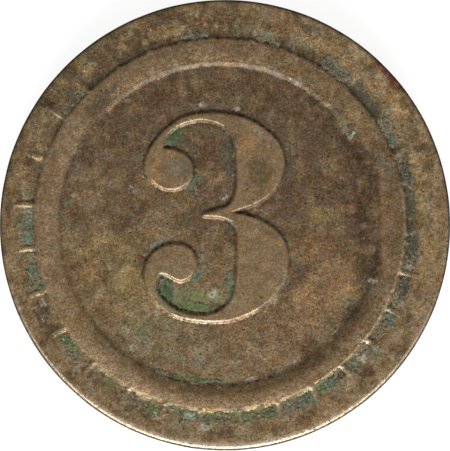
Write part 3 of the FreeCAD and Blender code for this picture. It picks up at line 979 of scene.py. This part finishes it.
def add_node(tree, kind, **settings):
    """A shader node with some of its settings."""
    made = tree.nodes.new("ShaderNode" + kind)
    for name, value in settings.items():
        setattr(made, name, value)
    return made


def put(socket, value):
    """Link a value to a socket, or set it there."""
    if isinstance(value, bpy.types.NodeSocket):
        socket.id_data.links.new(value, socket)
    else:
        socket.default_value = value


def fill(node, values):
    """Link or set a node's inputs by name."""
    for name, value in values.items():
        put(node.inputs[name], value)


def noise(tree, size, detail, roughness, distortion=0.0):
    """Noise with features of about one size, from 0 to 1."""
    made = add_node(tree, "TexNoise")
    fill(made, {
        "Vector": add_node(tree, "TexCoord").outputs["Object"],
        "Scale": 1 / (size * MM),
        "Detail": detail,
        "Roughness": roughness,
        "Distortion": distortion,
    })
    return made.outputs["Fac"]


def remap(tree, value, low, high, new_low=0.0, new_high=1.0, smooth=True):
    """A value moved from one range to another, and held inside it."""
    made = add_node(tree, "MapRange", interpolation_type="SMOOTHSTEP" if smooth else "LINEAR")
    values = {"Value": value, "From Min": low, "From Max": high, "To Min": new_low, "To Max": new_high}
    fill(made, values)
    return made.outputs["Result"]


def calculate(tree, operation, *values):
    """Arithmetic on values."""
    made = add_node(tree, "Math", operation=operation)
    for socket, value in zip(made.inputs, values):
        put(socket, value)
    return made.outputs[0]


def mix_colour(tree, share, first, second, kind="MIX"):
    """Two colours mixed by a share."""
    made = add_node(tree, "Mix", data_type="RGBA", blend_type=kind)
    for number, value in ((0, share), (6, first), (7, second)):
        put(made.inputs[number], value)
    return made.outputs[2]


def mottled(tree, colour, value, change, span=(0.3, 0.7)):
    """A colour made darker and brighter by a noise, nearly alike in red, green and blue as light."""
    share = remap(tree, value, *span, 0.0, 1.0, False)
    dark = [1 - change * part for part in MOTTLING]
    bright = [1 + change * part for part in MOTTLING]
    return mix_colour(tree, 1.0, colour, mix_colour(tree, share, (*dark, 1), (*bright, 1)), "MULTIPLY")


def attribute(tree, name, output="Fac"):
    """A vertex attribute of the mesh."""
    return add_node(tree, "Attribute", attribute_name=name).outputs[output]


def flat(colour):
    """A colour as a node socket's value."""
    return (*linear(colour).tolist(), 1.0)


def new_material(name):
    """A material with nothing but its shader, and that shader."""
    material = bpy.data.materials.new(name)
    material.use_nodes = True
    tree = material.node_tree
    tree.nodes.clear()
    shader = add_node(tree, "BsdfPrincipled")
    output = add_node(tree, "OutputMaterial")
    tree.links.new(shader.outputs["BSDF"], output.inputs["Surface"])
    return material, tree, shader


def bump(tree, height, depth):
    """A normal from a height, where 1 is a depth in millimetres."""
    made = add_node(tree, "Bump")
    fill(made, {"Strength": 1.0, "Distance": depth * MM, "Height": height})
    return made.outputs["Normal"]


def bent_position(tree):
    """The object's coordinates, shifted by a fine noise."""
    position = add_node(tree, "TexCoord").outputs["Object"]
    bend = add_node(tree, "TexNoise")
    fill(bend, {"Vector": position, "Scale": 1 / (0.06 * MM)})
    shift = add_node(tree, "VectorMath", operation="MULTIPLY_ADD")
    put(shift.inputs[0], bend.outputs["Color"])
    shift.inputs[1].default_value = (0.11 * MM,) * 3
    put(shift.inputs[2], position)
    return shift.outputs[0]


def dots(tree, size, reach, share):
    """Rough spots, at most reach in radius, in a share of a pattern's cells, from 0 to 1."""
    pattern = add_node(tree, "TexVoronoi")
    fill(pattern, {"Vector": bent_position(tree), "Scale": 1 / (size * MM)})
    split = add_node(tree, "SeparateColor")
    tree.links.new(pattern.outputs["Color"], split.inputs[0])
    if isinstance(share, bpy.types.NodeSocket):
        chosen = calculate(tree, "GREATER_THAN", share, split.outputs[0])
    else:
        chosen = remap(tree, split.outputs[0], share, share - 0.02)
    radius = calculate(tree, "MULTIPLY_ADD", split.outputs[1], reach / size, 0.3 * reach / size)
    inside = calculate(tree, "SUBTRACT", radius, pattern.outputs["Distance"])
    return calculate(tree, "MULTIPLY", remap(tree, inside, -0.04, 0.06), chosen)


def mottled_metal(tree, fine, clumps):
    """The bare metal's colour: mottled at five sizes, less so where it is worn, and slightly tinted."""
    metal = attribute(tree, "metal", "Color")
    specks = noise(tree, 0.06, 2.0, 0.6)
    patina = noise(tree, 0.75, 6.0, 0.66, 0.7)
    broad = noise(tree, 1.2, 3.0, 0.6, 0.4)
    colour = mottled(tree, metal, fine, 0.45)
    colour = mottled(tree, colour, specks, 0.27, (0.25, 0.75))
    colour = mottled(tree, colour, clumps, 0.22)
    colour = mottled(tree, colour, patina, 0.1, (0.485, 0.525))
    colour = mottled(tree, colour, broad, 0.16)
    smoothed = calculate(tree, "MULTIPLY", attribute(tree, "worn"), 0.28)
    colour = mix_colour(tree, smoothed, colour, metal)
    hue = remap(tree, noise(tree, 0.5, 1.5, 0.5), 0.34, 0.66)
    tint = mix_colour(tree, hue, (1.06, 0.985, 0.9, 1), (0.96, 1.02, 1.04, 1))
    return mix_colour(tree, 1.0, colour, tint, "MULTIPLY")


def covered(tree, colour, amount, strength, over):
    """A colour with a flat one over it, by an amount times a strength."""
    return mix_colour(tree, calculate(tree, "MULTIPLY", amount, strength), colour, flat(over))


def brass_material():
    """Old brass: mottled and pitted, dirty in its hollows, with films of corrosion, painted shade on
    flanks that face up the token and along its outline, and painted highlights.
    """
    material, tree, shader = new_material("aged_brass")
    fine = noise(tree, 0.12, 4.0, 0.66)
    clumps = noise(tree, 0.42, 4.0, 0.62, 0.5)
    ragged = calculate(tree, "SUBTRACT", noise(tree, 0.17, 4.0, 0.65), 0.5)
    spread = calculate(tree, "MULTIPLY_ADD", ragged, 3.2, attribute(tree, "cover"))
    film = remap(tree, spread, 0.25, 0.85, 0.0, 0.88)
    glint = remap(tree, fine, 0.32, 0.5, 0.35, 1.0)
    # Painted highlights with polish on crests, broken up by a noise.
    polish_and_highlight = calculate(tree, "MULTIPLY", attribute(tree, "polish_and_highlight"), glint)
    # Dirt in hollows, with painted shade on flanks that face up the token and along the outline.
    dirt_and_shade_amount = calculate(tree, "MULTIPLY_ADD", ragged, 2.0, attribute(tree, "hollow"))
    dirt_and_shade = remap(tree, dirt_and_shade_amount, 0.3, 0.95, 0.0, 0.9)
    pitting = remap(tree, attribute(tree, "pitted"), 0.0, 1.0, 0.06, 0.5, False)
    pits = dots(tree, 0.24, 0.043, pitting)
    dust = dots(tree, 0.42, 0.045, 0.16)
    stain = mottled(tree, attribute(tree, "stain", "Color"), fine, 0.45)
    colour = mix_colour(tree, film, mottled_metal(tree, fine, clumps), stain)
    colour = covered(tree, colour, polish_and_highlight, 0.75, POLISH_AND_HIGHLIGHT)
    colour = mix_colour(tree, dirt_and_shade, colour, flat(DIRT_AND_SHADE))
    colour = covered(tree, colour, pits, 0.75, PIT)
    colour = covered(tree, colour, dust, 0.6, DUST)
    unpolished = calculate(tree, "MULTIPLY_ADD", film, 0.3, remap(tree, fine, 0.3, 0.7, 0.38, 0.54, False))
    tarnish = calculate(tree, "MAXIMUM", film, dirt_and_shade)
    height = calculate(tree, "ADD", calculate(tree, "SUBTRACT", fine, pits), clumps)
    fill(shader, {
        "Base Color": colour,
        "Specular IOR Level": 0.2,
        "Roughness": calculate(tree, "MULTIPLY_ADD", polish_and_highlight, -0.14, unpolished),
        "Metallic": remap(tree, tarnish, 0.0, 1.0, 0.7, 0.05, False),
        "Normal": bump(tree, height, 0.022),
    })
    return material


def verdigris_material():
    """Powdery corrosion mixed with dirt, with a few painted glints as pale specks."""
    material, tree, shader = new_material("verdigris_crust")
    fine = noise(tree, 0.1, 4.0, 0.68)
    stain = attribute(tree, "stain", "Color")
    loose = attribute(tree, "loose")
    even = mottled(tree, stain, fine, 0.3)
    uneven = mottled(tree, stain, fine, 0.7)
    colour = mix_colour(tree, loose, even, uneven)
    thin = attribute(tree, "thin")
    patchy = calculate(tree, "MULTIPLY_ADD", thin, 0.22, noise(tree, 0.22, 4.0, 0.65))
    earth = mottled(tree, flat(EARTH), fine, 0.6)
    colour = mix_colour(tree, remap(tree, patchy, 0.51, 0.67, 0.0, 0.9), colour, earth)
    cracks = remap(tree, noise(tree, 0.18, 3.0, 0.6), 0.43, 0.34, 0.0, 0.85)
    colour = mix_colour(tree, cracks, colour, flat(CRACK))
    # Painted glints: pale specks on loose crust.
    pale_glints = remap(tree, noise(tree, 0.08, 3.0, 0.6), 0.6, 0.68, 0.0, 0.7)
    colour = covered(tree, colour, pale_glints, loose, PALE_GLINT)
    fill(shader, {
        "Base Color": colour,
        "Specular IOR Level": 0.12,
        "Roughness": remap(tree, fine, 0.3, 0.7, 0.7, 0.95, False),
        "Normal": bump(tree, fine, 0.035),
    })
    return material


# Floor, light and camera


def make_floor():
    """A plain white floor, which stays nearly white in the token's shadow."""
    half = 1.5
    mesh = bpy.data.meshes.new("floor")
    corners = [(-half, -half, 0), (half, -half, 0), (half, half, 0), (-half, half, 0)]
    mesh.from_pydata(corners, [], [[0, 1, 2, 3]])
    material, tree, shader = new_material("floor_white")
    seen = add_node(tree, "LightPath").outputs["Is Camera Ray"]
    fill(shader, {
        "Base Color": (0.35, 0.35, 0.35, 1),
        "Roughness": 0.9,
        "Emission Color": (1, 1, 1, 1),
        "Emission Strength": remap(tree, seen, 0.0, 1.0, 0.0, 0.86, False),
    })
    mesh.materials.append(material)
    floor = add_object("floor", mesh)
    floor.location.z = -0.0002


def make_world():
    """Soft light from all round, in front of a white backdrop."""
    world = bpy.data.worlds.new("studio")
    bpy.context.scene.world = world
    world.use_nodes = True
    tree = world.node_tree
    tree.nodes.clear()
    seen = add_node(tree, "LightPath").outputs["Is Camera Ray"]
    strength = remap(tree, seen, 0.0, 1.0, 0.336, 0.95, False)
    background = add_node(tree, "Background")
    fill(background, {"Color": (1, 1, 1, 1), "Strength": strength})
    output = add_node(tree, "OutputWorld")
    tree.links.new(background.outputs[0], output.inputs["Surface"])


def make_lamp(name, place, size, power):
    """An area lamp that faces the token."""
    data = bpy.data.lights.new(name, "AREA")
    data.shape = "RECTANGLE"
    data.size, data.size_y = size
    data.energy = power
    lamp = add_object(name, data)
    lamp.location = place
    lamp.rotation_mode = "QUATERNION"
    lamp.rotation_quaternion = (-Vector(place)).to_track_quat("-Z", "Y")


def make_camera():
    """A long lens straight above the token, with +Y up in the picture."""
    lens, sensor = 200.0, 36.0
    view_height = 1.0013 * 2 * BLANK_RADIUS
    data = bpy.data.cameras.new("camera")
    data.lens = lens
    data.sensor_width = sensor
    data.clip_start, data.clip_end = 0.005, 10
    camera = add_object("camera", data)
    outline_level = THICKNESS - ROUNDING
    camera.location = (0, -0.015 * MM, (outline_level + view_height * lens / sensor) * MM)
    bpy.context.scene.camera = camera


def main():
    """Build everything."""
    make_floor()
    make_world()
    make_lamp("key", (0, -0.46, 0.32), (0.5, 0.08), 3.4)
    make_camera()
    bpy.context.scene.view_settings.view_transform = "Standard"
    brass = brass_material()
    verdigris = verdigris_material()
    front = scratched(worn_height(False, 1))
    back = worn_height(True, 5)
    make_token(front, back, brass)
    make_crust("verdigris_numeral", "verdigris_in_numeral", front, 41, verdigris, 0.25)
    make_crust("verdigris_ring", "verdigris_at_ring", front, 43, verdigris)
    make_crust("verdigris_border", "verdigris_in_border", front, 45, verdigris)


main()
